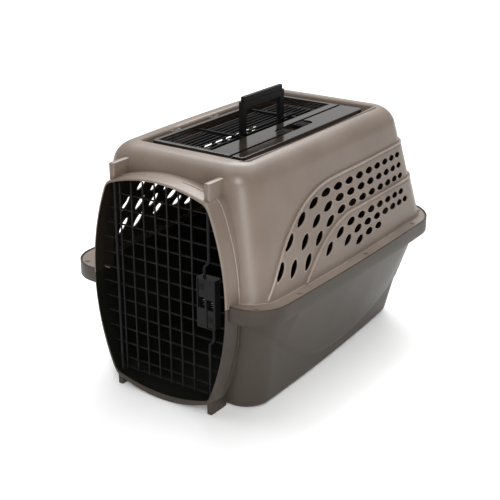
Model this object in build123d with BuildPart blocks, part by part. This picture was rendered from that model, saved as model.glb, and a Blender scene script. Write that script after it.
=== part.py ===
from build123d import *
from math import atan, degrees
import os

# A two-door pet carrier. Millimetres, +Z up, the origin on the floor under the middle.
# +X is to the right seen from the front door, which faces -Y.

# Driving dimensions
LENGTH = 611.0
WIDTH = 426.0
ROOF = 413.0
SEAM = 200.0
WALL = 3.0
GAP = 0.3
FIT = 0.05

FRONT = -LENGTH / 2
REAR = LENGTH / 2

# Shells: each section is (height, half width, front y, rear y, corner radius)
SIDE_BULGE = 8.0
LOWER_BASE = (6.0, 150.0, -258.0, 254.0, 40.0)
LOWER_TOP = (SEAM, 190.0, -281.0, 283.0, 50.0)
UPPER_BASE = (SEAM, 190.0, -281.0, 283.0, 50.0)
UPPER_TOP = (ROOF, 146.0, -258.0, 246.0, 46.0)
ROOF_ROUND = 30.0
BASE_ROUND = 16.0

# Rim: the upper flange lies in the tray of the lower rim
RIM = (SEAM, WIDTH / 2, -299.0, REAR, 58.0, 88.0)
LIP_TOP = SEAM + 5.0
SKIRT_BOTTOM = 175.0
LEDGE_BOTTOM = SEAM - 3.0
FLANGE_TOP = SEAM + 3.0
PEG_R = 2.5
PEG_YS = (-190.0, 20.0, 200.0)
CORNER_PEGS = ((175.0, -279.0), (171.5, 272.5))
REAR_LUG = (25.0, 18.0, 18.0)
REAR_LUG_PLACE = (132.0, 288.0)
REAR_FOOT = (34.0, 44.0, 12.0)
REAR_FOOT_PLACE = (98.0, 205.0)
FIN = (10.0, 42.0, 26.0)
FIN_Y = -278.0

# Collar round the front door
COLLAR_SEAM_X = 137.0
COLLAR_TOP_X, COLLAR_TOP_Z = 103.0, 366.0
COLLAR_CREST = 385.0
COLLAR_BOTTOM_X, COLLAR_BOTTOM_Z = 100.0, 22.0
COLLAR_DEPTH = 48.0
SILL_RISE = 12.0

# Front door
DOOR_Y = -293.0
ROD_X = 95.0
HINGE_ROD_X = 93.0
ROD_R = 2.5
LATCH_ROD_Y = DOOR_Y - 0.5
ROD_TOP, ROD_FOOT = 376.0, 17.0
SOCKET_TOP, SOCKET_FOOT = 378.0, 15.0
SOCKET_CLEAR_TOP, SOCKET_CLEAR_FOOT = 350.0, 45.0
WIRE_R = 1.5
UPRIGHTS = 7
UPRIGHT_PITCH = 24.0
FIRST_UPRIGHT_X = -83.0
CROSS_COUNT = 12
CROSS_PITCH = 26.7
FIRST_CROSS_Z = 51.4
SILL_WIRE_Z = 33.0
LUG = (11.0, 48.0, 30.0)
LUG_Y, LUG_TOP = -273.0, 396.0

# Pinch latch of the front door: a housing with an upper and a lower slide
LATCH = (36.0, 18.2, 84.0)
LATCH_PLACE = (95.0, -294.9, SEAM)
LATCH_ROD_FOOT = 19.0
SLIDE_X = 8.5
SLIDE = (12.6, 15.6, 30.0)
LATCH_TRAVEL = 12.0
SPRING_R, SPRING_WIRE = 4.0, 0.8

# Roof recess and lid
ROOF_Y = -7.0
RECESS = (103.5, 206.0)
RECESS_X = 3.5
LEDGE_TOP = 397.0
HOLE = (82.0, 178.0)
LID = (93.0, 190.0)
LID_TOP = 411.0
LID_BASE = LEDGE_TOP + GAP
BAR = 8.0
STRIP_X = 27.0
LID_WIRE_Z = 400.0
LID_WIRE_R = 1.3
CROSS_WIRE_R = 1.9
CROSS_WIRE_YS = (-78.0, 83.0)
LONG_WIRES = 10
HINGE_X, HINGE_Z = -97.0, 408.5
HINGE_YS = (-127.0, -17.0, 93.0)
PIN_R = 1.5
EAR_R, EAR, EAR_OUT = 3.6, 3.0, 10.5
KNUCKLE_R = 2.7
TAB_WELL = (57.0, 6.0, 28.0, 96.0)
LATCH_ROD_Z = 406.0
LATCH_ROD_R = 2.0
FRONT_LATCH_X, REAR_LATCH_X = 69.0, 45.0

# Handle
HANDLE_Y = -8.0
HANDLE_LENGTH = 126.0
HANDLE_TOP = 470.0
HANDLE_ROD_R = 2.0
PIVOT_Z = LID_WIRE_Z + LID_WIRE_R + 2 * CROSS_WIRE_R + HANDLE_ROD_R


def plan(half_width, front, rear, corner, rear_corner=0.0):
    """Plan outline with straight ends and softly bulged sides, made in the current sketch."""
    end = half_width - SIDE_BULGE
    middle = (front + rear) / 2
    with BuildLine() as outline:
        Line((-end, front), (end, front))
        ThreePointArc((end, front), (half_width, middle), (end, rear))
        Line((end, rear), (-end, rear))
        ThreePointArc((-end, rear), (-half_width, middle), (-end, front))
    make_face(outline.edges())
    corners = vertices().sort_by(Axis.Y)
    fillet(corners[:2], corner)
    fillet(vertices().sort_by(Axis.Y)[-2:], rear_corner or corner)


def shrunk(section, wall):
    """The same section with its outline moved in by the wall."""
    height, half_width, front, rear, *corners = section
    return height, half_width - wall, front + wall, rear - wall, *(corner - wall for corner in corners)


def hull(low, high):
    """Tapered body between two plan sections, in the current part."""
    sections = []
    for height, half_width, front, rear, corner in (low, high):
        with BuildSketch(Plane.XY.offset(height)) as section:
            plan(half_width, front, rear, corner)
        sections.append(section.sketch.face())
    loft(sections, ruled=True)


def ring(section, low, high):
    """Plate with the section's outline between two heights, in the current part."""
    with BuildSketch(Plane.XY.offset(low)) as outline:
        plan(*section[1:])
    extrude(outline.sketch, amount=high - low)


def barrel(wall, sill=0.0):
    """Front view of the collar: bulged sides, arched top and bottom, in the current sketch."""
    side = COLLAR_SEAM_X - wall
    top_x, top_z = COLLAR_TOP_X - wall, COLLAR_TOP_Z - wall
    foot_x, foot_z = COLLAR_BOTTOM_X - wall, COLLAR_BOTTOM_Z + wall + sill * 0.4
    with BuildLine() as outline:
        ThreePointArc((top_x, top_z), (side, SEAM), (foot_x, foot_z))
        ThreePointArc((foot_x, foot_z), (0, wall + sill), (-foot_x, foot_z))
        ThreePointArc((-foot_x, foot_z), (-side, SEAM), (-top_x, top_z))
        ThreePointArc((-top_x, top_z), (0, COLLAR_CREST - wall), (top_x, top_z))
    make_face(outline.edges())
    fillet(vertices(), 9.0 - wall / 2)


def column(step):
    """Y of a vent column: the columns close up towards the rear."""
    return -222.0 + 41.5 * step - 0.045 * step**3


# Each vent row: (plateau height, y where the plateau starts, first column, number of vents)
VENT_ROWS = (
    (330.0, -45.0, 0.0, 13),
    (311.0, -15.0, 1.0, 12),
    (292.0, 5.0, 2.0, 11),
    (266.0, 20.0, 3.5, 9),
    (249.0, 45.0, 5.0, 8),
    (232.0, 60.0, 6.0, 3),
)
ROW_BEND = 0.0027
VENT_WIDTH = 13.0


def vents():
    """(y, z, tilt in degrees, length) of every vent on one side."""
    for plateau, knee, first, count in VENT_ROWS:
        for number in range(count):
            y = column(first + number)
            drop = max(0.0, knee - y)
            lean = degrees(atan(2 * ROW_BEND * drop)) + 17.0
            length = 34.0 - 1.2 * (first + number)
            yield y, plateau - ROW_BEND * drop**2, lean, length


def block(size, place, corner=0.0, mode=Mode.ADD):
    """Box with rounded upright edges; place is the middle of its base."""
    width, depth, height = size
    with BuildSketch(Plane(place)) as base:
        if corner:
            RectangleRounded(width, depth, corner)
        else:
            Rectangle(width, depth)
    extrude(base.sketch, amount=height, mode=mode)


def cut(low, high):
    """Take the box between two opposite corners out of the current part."""
    size = [b - a for a, b in zip(low, high)]
    block(size, ((low[0] + high[0]) / 2, (low[1] + high[1]) / 2, low[2]), 0.0, Mode.SUBTRACT)


def bore(x, y, low, high, radius):
    """Round upright hole through the current part."""
    with BuildSketch(Plane((x, y, low))) as hole:
        Circle(radius)
    extrude(hole.sketch, amount=high - low, mode=Mode.SUBTRACT)


def rod(start, direction, length, radius, mode=Mode.ADD):
    """Straight round bar, or with SUBTRACT a straight hole, in the current part."""
    with BuildSketch(Plane(origin=start, z_dir=direction)) as section:
        Circle(radius)
    extrude(section.sketch, amount=length, mode=mode)


def side_plane(y):
    """Upright plane across the object: local x is X, local y is Z, and it faces the front."""
    return Plane((0, y, 0), x_dir=(1, 0, 0), z_dir=(0, -1, 0))


def bent_rod(points, bend, radius):
    """Round bar along a bent path, added to the current part."""
    with BuildLine() as path:
        FilletPolyline(*points, radius=bend)
    with BuildSketch(Plane(origin=points[0], z_dir=path.line % 0)) as section:
        Circle(radius)
    sweep(section.sketch, path=path.line)


def peg_places():
    """(x, y) of every snap peg round the rim."""
    for side in (-1, 1):
        for y in PEG_YS:
            yield side * (200.0 - SIDE_BULGE * (y / 290.0) ** 2), y
        for x, y in CORNER_PEGS:
            yield side * x, y


def save(piece, name):
    """Label one finished piece and write it."""
    piece.part.label = name
    export_step(piece.part, "parts/" + name + ".step")


os.makedirs("parts", exist_ok=True)

# Lower shell: tapered tub with the rim tray, the lower half of the collar, fins and feet
with BuildPart() as lower_core:
    hull(shrunk((LOWER_BASE[0] + WALL, *LOWER_BASE[1:]), WALL), shrunk(LOWER_TOP, WALL))
    fillet(faces().sort_by(Axis.Z)[0].edges(), BASE_ROUND - WALL)

with BuildPart() as collar_bore:
    with BuildSketch(side_plane(FRONT)):
        barrel(WALL, SILL_RISE)
    extrude(amount=-COLLAR_DEPTH - 8.0)

with BuildPart() as lower_shell:
    hull(LOWER_BASE, LOWER_TOP)
    fillet(faces().sort_by(Axis.Z)[0].edges(), BASE_ROUND)
    ring(RIM, LEDGE_BOTTOM, SEAM)
    for side in (-1, 1):
        foot_x, foot_y = REAR_FOOT_PLACE
        block(REAR_FOOT, (side * foot_x, foot_y, 0), 6.0)
        block(FIN, (side * ROD_X, FIN_Y, 0))
    with BuildSketch(side_plane(FRONT)):
        barrel(0)
    extrude(amount=-COLLAR_DEPTH)
    split(bisect_by=Plane.XY.offset(SEAM), keep=Keep.BOTTOM)
    add(lower_core.part, mode=Mode.SUBTRACT)
    with BuildSketch(Plane.XY.offset(SKIRT_BOTTOM)):
        plan(*RIM[1:])
        offset(amount=-WALL, mode=Mode.SUBTRACT)
    extrude(amount=LIP_TOP - SKIRT_BOTTOM)
    add(collar_bore.part, mode=Mode.SUBTRACT)
    lip_gap = COLLAR_SEAM_X + 1.0
    cut((-lip_gap, FRONT - 1.0, SEAM), (lip_gap, FRONT + 50.0, LIP_TOP + 1.0))
    bore(-HINGE_ROD_X, DOOR_Y, SOCKET_FOOT, SOCKET_CLEAR_FOOT, ROD_R + FIT)
    bore(ROD_X, LATCH_ROD_Y, SOCKET_FOOT, SOCKET_CLEAR_FOOT, ROD_R + FIT)
    for x, y in peg_places():
        bore(x, y, LEDGE_BOTTOM - 1.0, SEAM + 1.0, PEG_R)
save(lower_shell, "lower_shell")

# Upper shell: tapered cover with the flange, upper collar, rod lugs, roof recess and vents
with BuildPart() as upper_core:
    hull(shrunk(UPPER_BASE, WALL), shrunk((ROOF - WALL, *UPPER_TOP[1:]), WALL))
    fillet(faces().sort_by(Axis.Z)[-1].edges(), ROOF_ROUND - WALL)

with BuildPart() as upper_shell:
    hull(UPPER_BASE, UPPER_TOP)
    fillet(faces().sort_by(Axis.Z)[-1].edges(), ROOF_ROUND)
    for side in (-1, 1):
        block(LUG, (side * ROD_X, LUG_Y, LUG_TOP - LUG[2]), 3.0)
        lug_x, lug_y = REAR_LUG_PLACE
        block(REAR_LUG, (side * lug_x, lug_y, FLANGE_TOP), 3.0)
    with BuildSketch(side_plane(FRONT)):
        barrel(0)
    extrude(amount=-COLLAR_DEPTH)
    ring(shrunk(RIM, WALL + GAP), SEAM, FLANGE_TOP)
    split(bisect_by=Plane.XY.offset(SEAM), keep=Keep.TOP)
    add(upper_core.part, mode=Mode.SUBTRACT)
    add(collar_bore.part, mode=Mode.SUBTRACT)
    recess_size = (2 * RECESS[0], 2 * RECESS[1])
    recess_left = RECESS_X - RECESS[0]
    tub = (recess_size[0] + 2 * WALL, recess_size[1] + 2 * WALL, ROOF - LEDGE_TOP + WALL - 1.0)
    block(tub, (RECESS_X, ROOF_Y, LEDGE_TOP - WALL), 10.0)
    block((*recess_size, 30.0), (RECESS_X, ROOF_Y, LEDGE_TOP), 8.0, Mode.SUBTRACT)
    block((2 * HOLE[0], 2 * HOLE[1], 30.0), (0, ROOF_Y, LEDGE_TOP - 20.0), 6.0, Mode.SUBTRACT)
    for y in HINGE_YS:
        for face_y in (y - EAR_OUT, y + EAR_OUT - EAR):
            with BuildSketch(side_plane(face_y)):
                with Locations((HINGE_X, HINGE_Z)):
                    Circle(EAR_R)
                with Locations(((HINGE_X + recess_left - 1.0) / 2, HINGE_Z - 2.5)):
                    Rectangle(HINGE_X - recess_left + 1.0, 11.0)
            extrude(amount=-EAR)
        rod((HINGE_X, y - EAR_OUT - 1.0, HINGE_Z), (0, 1, 0), 2 * EAR_OUT + 2.0, PIN_R + FIT, Mode.SUBTRACT)
    bore(-HINGE_ROD_X, DOOR_Y, SOCKET_CLEAR_TOP, SOCKET_TOP, ROD_R + FIT)
    bore(ROD_X, LATCH_ROD_Y, SOCKET_CLEAR_TOP, SOCKET_TOP, ROD_R + FIT)
    for x, y in peg_places():
        bore(x, y, SEAM - 1.0, FLANGE_TOP + 1.0, PEG_R)

    for side in (-1, 1):
        with BuildSketch(Plane((side * 200.0, 0, 0), x_dir=(0, side, 0), z_dir=(side, 0, 0))):
            for y, z, lean, length in vents():
                with Locations((side * y, z)):
                    SlotOverall(length, VENT_WIDTH, rotation=side * lean)
        extrude(amount=-75.0, mode=Mode.SUBTRACT)
    rod((FRONT_LATCH_X, ROOF_Y - RECESS[1] - 2.5, LATCH_ROD_Z), (0, 1, 0), 5.0, LATCH_ROD_R + FIT, Mode.SUBTRACT)
    rod((REAR_LATCH_X, ROOF_Y + RECESS[1] + 2.5, LATCH_ROD_Z), (0, -1, 0), 5.0, LATCH_ROD_R + FIT, Mode.SUBTRACT)
save(upper_shell, "upper_shell")

# Snap pegs that hold the two shells together round the rim
with BuildPart() as rim_pegs:
    for x, y in peg_places():
        rod((x, y, LEDGE_BOTTOM - 1.0), (0, 0, 1), FLANGE_TOP - LEDGE_BOTTOM + 1.0, PEG_R)
        rod((x, y, FLANGE_TOP), (0, 0, 1), 1.6, PEG_R + 1.3)
save(rim_pegs, "rim_pegs")


# Front door: hinge rod, uprights and cross wires in three touching layers
CROSS_Y = DOOR_Y + ROD_R + WIRE_R
UPRIGHT_Y = CROSS_Y - 2 * WIRE_R


def collar_half_width(z):
    """Half width of the collar's outer face at a height."""
    rise = (COLLAR_TOP_Z - COLLAR_BOTTOM_Z) / 2
    middle = (COLLAR_TOP_Z + COLLAR_BOTTOM_Z) / 2
    sag = COLLAR_SEAM_X - (COLLAR_TOP_X + COLLAR_BOTTOM_X) / 2
    return COLLAR_SEAM_X - sag * ((z - middle) / rise) ** 2


with BuildPart() as door_hinge_rod:
    rod((-HINGE_ROD_X, DOOR_Y, ROD_FOOT), (0, 0, 1), ROD_TOP - ROD_FOOT, ROD_R)
save(door_hinge_rod, "door_hinge_rod")

with BuildPart() as door_uprights:
    for number in range(UPRIGHTS):
        x = FIRST_UPRIGHT_X + number * UPRIGHT_PITCH
        top = COLLAR_CREST - 9.0 - (COLLAR_CREST - COLLAR_TOP_Z) * (x / COLLAR_TOP_X) ** 2
        rod((x, UPRIGHT_Y, SILL_WIRE_Z - WIRE_R), (0, 0, 1), top - SILL_WIRE_Z + WIRE_R, WIRE_R)
save(door_uprights, "door_uprights")

cross_heights = [SILL_WIRE_Z] + [FIRST_CROSS_Z + CROSS_PITCH * k for k in range(CROSS_COUNT)]
latch_left = LATCH_PLACE[0] - LATCH[0] / 2
latch_right = LATCH_PLACE[0] + LATCH[0] / 2
with BuildPart() as door_cross_wires:
    for z in cross_heights:
        reach = collar_half_width(z) - WALL - 5.0
        if z == SILL_WIRE_Z:
            reach = HINGE_ROD_X + 1.0
        if abs(z - SEAM) < LATCH[2] / 2:
            rod((-reach, CROSS_Y, z), (1, 0, 0), reach + latch_left + 2.0, WIRE_R)
            rod((reach, CROSS_Y, z), (-1, 0, 0), reach - latch_right + 1.5, WIRE_R)
        else:
            rod((-reach, CROSS_Y, z), (1, 0, 0), 2 * reach, WIRE_R)
save(door_cross_wires, "door_cross_wires")

# Latch housing: a block with two open channels, the upper one on the left
channel = (SLIDE[0] + 2 * GAP, SLIDE[1] + 2.0 + GAP, SLIDE[2] + LATCH_TRAVEL + 6.0 + GAP)
upper_x, lower_x = LATCH_PLACE[0] - SLIDE_X, LATCH_PLACE[0] + SLIDE_X
latch_front = LATCH_PLACE[1] - LATCH[1] / 2
slide_y = latch_front + SLIDE[1] / 2 + 1.0
with BuildPart() as latch_housing:
    block(LATCH, (*LATCH_PLACE[:2], SEAM - LATCH[2] / 2), 2.0)
    upper_low = SEAM - 8.0
    block(channel, (upper_x, latch_front + channel[1] / 2 - 1.0, upper_low), 0.0, Mode.SUBTRACT)
    lower_low = SEAM + 8.0 - channel[2]
    block(channel, (lower_x, latch_front + channel[1] / 2 - 1.0, lower_low), 0.0, Mode.SUBTRACT)
    bore(upper_x, LATCH_ROD_Y, SEAM, SEAM + 60.0, ROD_R + GAP)
    bore(lower_x, LATCH_ROD_Y, SEAM - 60.0, SEAM, ROD_R + GAP)
save(latch_housing, "latch_housing")


def latch_slide(x, base_z, turned):
    """Thumb slide with three grip ridges and a hole for its rod."""
    with BuildPart() as slide:
        block(SLIDE, (x, slide_y, base_z), 1.0)
        for step in range(3):
            ridge_z = base_z + SLIDE[2] / 2 + turned * (4.0 * step - 2.0)
            block((SLIDE[0] - 3.0, 2.0, 1.6), (x, slide_y - SLIDE[1] / 2, ridge_z))
        low = base_z + 2.0 if turned > 0 else base_z - 1.0
        bore(x, LATCH_ROD_Y, low, low + SLIDE[2] - 1.0, ROD_R)
    return slide


upper_base = upper_low + channel[2] - SLIDE[2] - GAP
lower_base = lower_low + GAP
save(latch_slide(upper_x, upper_base, 1), "latch_slide_upper")
save(latch_slide(lower_x, lower_base, -1), "latch_slide_lower")


# Latch rods: each leaves its slide, steps outwards and ends in a socket of the collar
with BuildPart() as latch_rod_upper:
    path = [
        (upper_x, LATCH_ROD_Y, upper_base + 2.0),
        (upper_x, LATCH_ROD_Y, 258.0),
        (ROD_X, LATCH_ROD_Y, 258.0 + ROD_X - upper_x),
        (ROD_X, LATCH_ROD_Y, ROD_TOP),
    ]
    bent_rod(path, 5.0, ROD_R)
save(latch_rod_upper, "latch_rod_upper")

with BuildPart() as latch_rod_lower:
    path = [
        (lower_x, LATCH_ROD_Y, lower_base + SLIDE[2] - 2.0),
        (lower_x, LATCH_ROD_Y, 134.0),
        (ROD_X, LATCH_ROD_Y, 134.0 - (lower_x - ROD_X)),
        (ROD_X, LATCH_ROD_Y, LATCH_ROD_FOOT),
    ]
    bent_rod(path, 5.0, ROD_R)
save(latch_rod_lower, "latch_rod_lower")


def coil(x, low, high):
    """Compression spring standing behind a slide, as a coil of round wire."""
    radius = SPRING_R - SPRING_WIRE
    with BuildPart() as spring:
        with BuildLine() as path:
            Helix((high - low - 2 * SPRING_WIRE) / 4.0, high - low - 2 * SPRING_WIRE, radius)
        with BuildSketch(Plane(origin=path.line @ 0, z_dir=path.line % 0)):
            Circle(SPRING_WIRE / 2)
        sweep(is_frenet=True)
    return spring.part.moved(Location((x, slide_y, low + SPRING_WIRE)))


for name, x, low, high in (
    ("latch_spring_upper", upper_x, upper_low, upper_base),
    ("latch_spring_lower", lower_x, lower_base + SLIDE[2], lower_low + channel[2]),
):
    with BuildPart() as latch_spring:
        add(coil(x, low, high))
    save(latch_spring, name)

# Lid frame: bars on three sides and a wide strip on the right, with the latch well in it
lid_front, lid_rear = ROOF_Y - LID[1], ROOF_Y + LID[1]
well_x, well_y, well_width, well_length = TAB_WELL
WELL_FLOOR = LID_TOP - 9.0
CHANNEL_FLOOR = LATCH_ROD_Z - LATCH_ROD_R - 1.0
channel_half = LATCH_ROD_R + 1.0
pocket_top = LID_TOP - 2.5
well_front, well_rear = well_y - well_length / 2, well_y + well_length / 2
underside = (
    (STRIP_X + 3.0, FRONT_LATCH_X - 6.0, lid_front + 3.0, well_front - 4.0),
    (FRONT_LATCH_X + 6.0, LID[0] - 3.0, lid_front + 3.0, well_front - 4.0),
    (REAR_LATCH_X + 6.0, LID[0] - 3.0, well_rear + 4.0, lid_rear - 3.0),
    (STRIP_X + 3.0, REAR_LATCH_X - 6.0, well_rear + 4.0, lid_rear - 3.0),
)
with BuildPart() as lid_frame:
    block((2 * LID[0], 2 * LID[1], LID_TOP - LID_BASE), (0, ROOF_Y, LID_BASE), 8.0)
    fillet(faces().sort_by(Axis.Z)[-1].edges(), 1.5)
    cut((BAR - LID[0], lid_front + BAR, LID_BASE - 1.0), (STRIP_X, lid_rear - BAR, LID_TOP + 1.0))
    with BuildSketch(Plane.XY.offset(WELL_FLOOR)):
        with Locations((well_x, well_y)):
            SlotOverall(well_length, well_width, rotation=90)
    extrude(amount=20.0, mode=Mode.SUBTRACT)
    cut(
        (FRONT_LATCH_X - channel_half, lid_front - 1.0, CHANNEL_FLOOR),
        (FRONT_LATCH_X + channel_half, well_y, LID_TOP + 1.0),
    )
    cut(
        (REAR_LATCH_X - channel_half, well_y, CHANNEL_FLOOR),
        (REAR_LATCH_X + channel_half, lid_rear + 1.0, LID_TOP + 1.0),
    )
    for left, right, front, rear in underside:
        cut((left, front, LID_BASE - 1.0), (right, rear, pocket_top))
    for y in HINGE_YS:
        knuckle = 2 * (EAR_OUT - EAR - GAP)
        rod((HINGE_X, y - knuckle / 2, HINGE_Z), (0, 1, 0), knuckle, KNUCKLE_R)
        block((BAR, knuckle, 2 * KNUCKLE_R), (HINGE_X + BAR / 2, y, HINGE_Z - KNUCKLE_R))
        rod((HINGE_X, y - knuckle, HINGE_Z), (0, 1, 0), 2 * knuckle, PIN_R, Mode.SUBTRACT)
save(lid_frame, "lid_frame")

with BuildPart() as lid_hinge_pins:
    for y in HINGE_YS:
        rod((HINGE_X, y - EAR_OUT, HINGE_Z), (0, 1, 0), 2 * EAR_OUT, PIN_R)
save(lid_hinge_pins, "lid_hinge_pins")

# Lid grille: long wires below, two thicker cross wires and the handle's rod on top of them
wire_left = BAR - LID[0]
wire_pitch = (STRIP_X - wire_left) / (LONG_WIRES + 1)
WIRE_HOLD = 3.0
with BuildPart() as lid_long_wires:
    for number in range(LONG_WIRES):
        x = wire_left + (number + 1) * wire_pitch
        start = lid_front + BAR - WIRE_HOLD
        rod((x, start, LID_WIRE_Z), (0, 1, 0), 2 * (ROOF_Y - start), LID_WIRE_R)
save(lid_long_wires, "lid_long_wires")

cross_wire_z = LID_WIRE_Z + LID_WIRE_R + CROSS_WIRE_R
with BuildPart() as lid_cross_wires:
    for y in CROSS_WIRE_YS:
        start = wire_left - WIRE_HOLD
        rod((start, y, cross_wire_z), (1, 0, 0), STRIP_X + WIRE_HOLD - start, CROSS_WIRE_R)
save(lid_cross_wires, "lid_cross_wires")

with BuildPart() as handle_rod:
    start = CROSS_WIRE_YS[0] - 6.0
    rod((0, start, PIVOT_Z), (0, 1, 0), CROSS_WIRE_YS[1] + 6.0 - start, HANDLE_ROD_R)
save(handle_rod, "handle_rod")

# Handle: two legs that taper down to eyes on the rod, and a T-shaped grip
EYE_R, EYE = 5.0, 10.0
LEG_TOP = HANDLE_TOP - 20.0
LEG = (9.0, 12.0)
GRIP_RIB = (9.0, 9.0)
GRIP_WIDTH = 12.0
with BuildPart() as handle:
    for side in (-1, 1):
        leg_y = HANDLE_Y + side * (HANDLE_LENGTH / 2 - LEG[1] / 2)
        eye_y = HANDLE_Y + side * (HANDLE_LENGTH / 2 - EYE / 2)
        with BuildSketch(Plane((0, eye_y, PIVOT_Z))) as foot:
            Rectangle(2 * EYE_R - 2.0, EYE)
        with BuildSketch(Plane((0, leg_y, LEG_TOP))) as shoulder:
            Rectangle(*LEG)
        loft([foot.sketch.face(), shoulder.sketch.face()])
        rod((0, eye_y - EYE / 2, PIVOT_Z), (0, 1, 0), EYE, EYE_R)
    rib_base = HANDLE_TOP - GRIP_RIB[1]
    block((GRIP_WIDTH, HANDLE_LENGTH, rib_base - LEG_TOP), (0, HANDLE_Y, LEG_TOP), 3.0)
    block((GRIP_RIB[0], HANDLE_LENGTH - 8.0, GRIP_RIB[1] + 1.0), (0, HANDLE_Y, rib_base - 1.0), 3.0)
    fillet(faces().sort_by(Axis.Z)[-1].edges(), 2.5)
    rod((0, HANDLE_Y - HANDLE_LENGTH, PIVOT_Z), (0, 1, 0), 2 * HANDLE_LENGTH, HANDLE_ROD_R + FIT, Mode.SUBTRACT)
save(handle, "handle")


# Lid latches: a thumb tab in the well and a rod through the lid's edge, one to each end
def lid_tab(x, tab_y):
    """Ribbed thumb tab with the hole for its rod."""
    with BuildPart() as tab:
        block((24.0, TAB_LENGTH, TAB_TOP - WELL_FLOOR - GAP), (well_x, tab_y, WELL_FLOOR + GAP), 2.0)
        for step in range(4):
            block((18.0, 1.6, 1.4), (well_x, tab_y + (step - 1.5) * 4.5, TAB_TOP))
        rod((x, tab_y - TAB_LENGTH, LATCH_ROD_Z), (0, 1, 0), 2 * TAB_LENGTH, LATCH_ROD_R, Mode.SUBTRACT)
    return tab


TAB_LENGTH, TAB_TOP = 22.0, LID_TOP - 2.0
front_tab_y = well_front + 9.0 + TAB_LENGTH / 2
rear_tab_y = well_rear - 9.0 - TAB_LENGTH / 2
save(lid_tab(FRONT_LATCH_X, front_tab_y), "lid_tab_front")
save(lid_tab(REAR_LATCH_X, rear_tab_y), "lid_tab_rear")

with BuildPart() as lid_rod_front:
    start = ROOF_Y - RECESS[1] - 2.0
    rod((FRONT_LATCH_X, start, LATCH_ROD_Z), (0, 1, 0), front_tab_y + TAB_LENGTH / 2 - start, LATCH_ROD_R)
save(lid_rod_front, "lid_rod_front")

with BuildPart() as lid_rod_rear:
    start = ROOF_Y + RECESS[1] + 2.0
    rod((REAR_LATCH_X, start, LATCH_ROD_Z), (0, -1, 0), start - rear_tab_y + TAB_LENGTH / 2, LATCH_ROD_R)
save(lid_rod_rear, "lid_rod_rear")
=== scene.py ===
import bmesh
import bpy
import math
from mathutils import Matrix, Vector


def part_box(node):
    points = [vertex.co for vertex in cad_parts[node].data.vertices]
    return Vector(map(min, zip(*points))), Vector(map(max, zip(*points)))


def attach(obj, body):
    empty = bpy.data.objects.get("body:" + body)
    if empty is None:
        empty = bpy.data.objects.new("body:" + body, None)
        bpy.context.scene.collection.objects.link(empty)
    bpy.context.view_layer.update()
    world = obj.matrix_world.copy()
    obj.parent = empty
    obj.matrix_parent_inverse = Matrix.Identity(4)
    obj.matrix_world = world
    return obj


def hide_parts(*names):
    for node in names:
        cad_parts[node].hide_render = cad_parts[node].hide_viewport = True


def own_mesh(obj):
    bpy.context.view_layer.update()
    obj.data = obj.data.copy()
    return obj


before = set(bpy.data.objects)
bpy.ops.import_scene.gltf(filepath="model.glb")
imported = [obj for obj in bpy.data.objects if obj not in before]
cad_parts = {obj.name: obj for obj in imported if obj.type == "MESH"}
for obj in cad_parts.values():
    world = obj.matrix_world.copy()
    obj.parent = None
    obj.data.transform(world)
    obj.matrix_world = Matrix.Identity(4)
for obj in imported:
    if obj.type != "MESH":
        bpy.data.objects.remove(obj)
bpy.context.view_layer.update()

MM = 0.001

# ---------------------------------------------------------------- sizes, in millimetres
seam = 200.0
wall = 3.0
roof = 413.0
roof_round = 30.0

# each plan section: half width, front y, rear y, corner radius (the rim has its rear radius too)
upper_foot = (186.5, -281.0, 280.0, 50.0)
upper_head = (143.0, -258.0, 244.0, 46.0)
lower_foot = (150.0, -258.0, 250.0, 42.0)
lower_head = (186.5, -281.0, 281.0, 50.0)
rim = (212.5, -299.0, 305.0, 58.0, 88.0)
bulge = 7.0
smallest_corner = 6.0
foot_taper = 0.0003
left_lean, lean_start, lean_width = 4.5, 60.0, 60.0
base_height, base_round = 1.5, 9.0

skirt_low, lip_top = 178.0, 204.6
flange_top = 203.0
flange_foot = seam + 0.15
wall_start = flange_top + 2.5

# side panel of the lower shell: its curved crease, how far it leans out, where it fades away
crease_low, crease_bend_front, crease_bend_rear = 32.0, 0.0019, 0.00095
panel_reach, panel_edge, edge_softness = 28.0, 4.5, 2.4
fade_height, fade_share, fade_middle, fade_width = 70.0, 0.85, 210.0, 58.0

# vented panels of the upper shell: how far each stands out, and the two ridges that bound them
# (each ridge: height, y where it starts to fall, how fast it falls and by what power)
vent_step, step_softness = 3.3, 2.6
first_ridge = (347.0, -10.0, 1.55e-4, 2.5)
second_ridge = (281.0, 15.0, 0.0026, 2)
ridge_rear, bead_off = 228.0, 2.6

recess_side, recess_end, recess_x, recess_y = 105.0, 207.0, 5.0, -7.0
hole_side, hole_end = 82.0, 178.0
ledge = 397.0

collar_seam_x = 137.0
collar_top = (103.0, 366.0, 385.0)
collar_foot = (100.0, 22.0, 0.5)
collar_back = -258.0
collar_corner, bore_corner = 10.0, 4.5
sill_rise = 10.0
lip_start, lip_depth, lip_width = -300.5, 5.0, 3.2

spring_radius, spring_turns, spring_points = 0.4, 4.0, 80

# ---------------------------------------------------------------- small helpers


def smooth(value):
    """Soft step from 0 to 1 as value goes from -1 to 1."""
    t = min(1.0, max(0.0, value * 0.5 + 0.5))
    return t * t * (3.0 - 2.0 * t)


def mixed(a, b, t):
    """Numbers of two tuples, t of the way from the first to the second."""
    return tuple(p + (q - p) * t for p, q in zip(a, b))


def mesh_object(name, points, faces, material, body):
    """New piece from points in millimetres."""
    mesh = bpy.data.meshes.new(name)
    mesh.from_pydata([[c * MM for c in p] for p in points], [], faces)
    outward(mesh)
    return finished(name, mesh, material, body)


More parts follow.
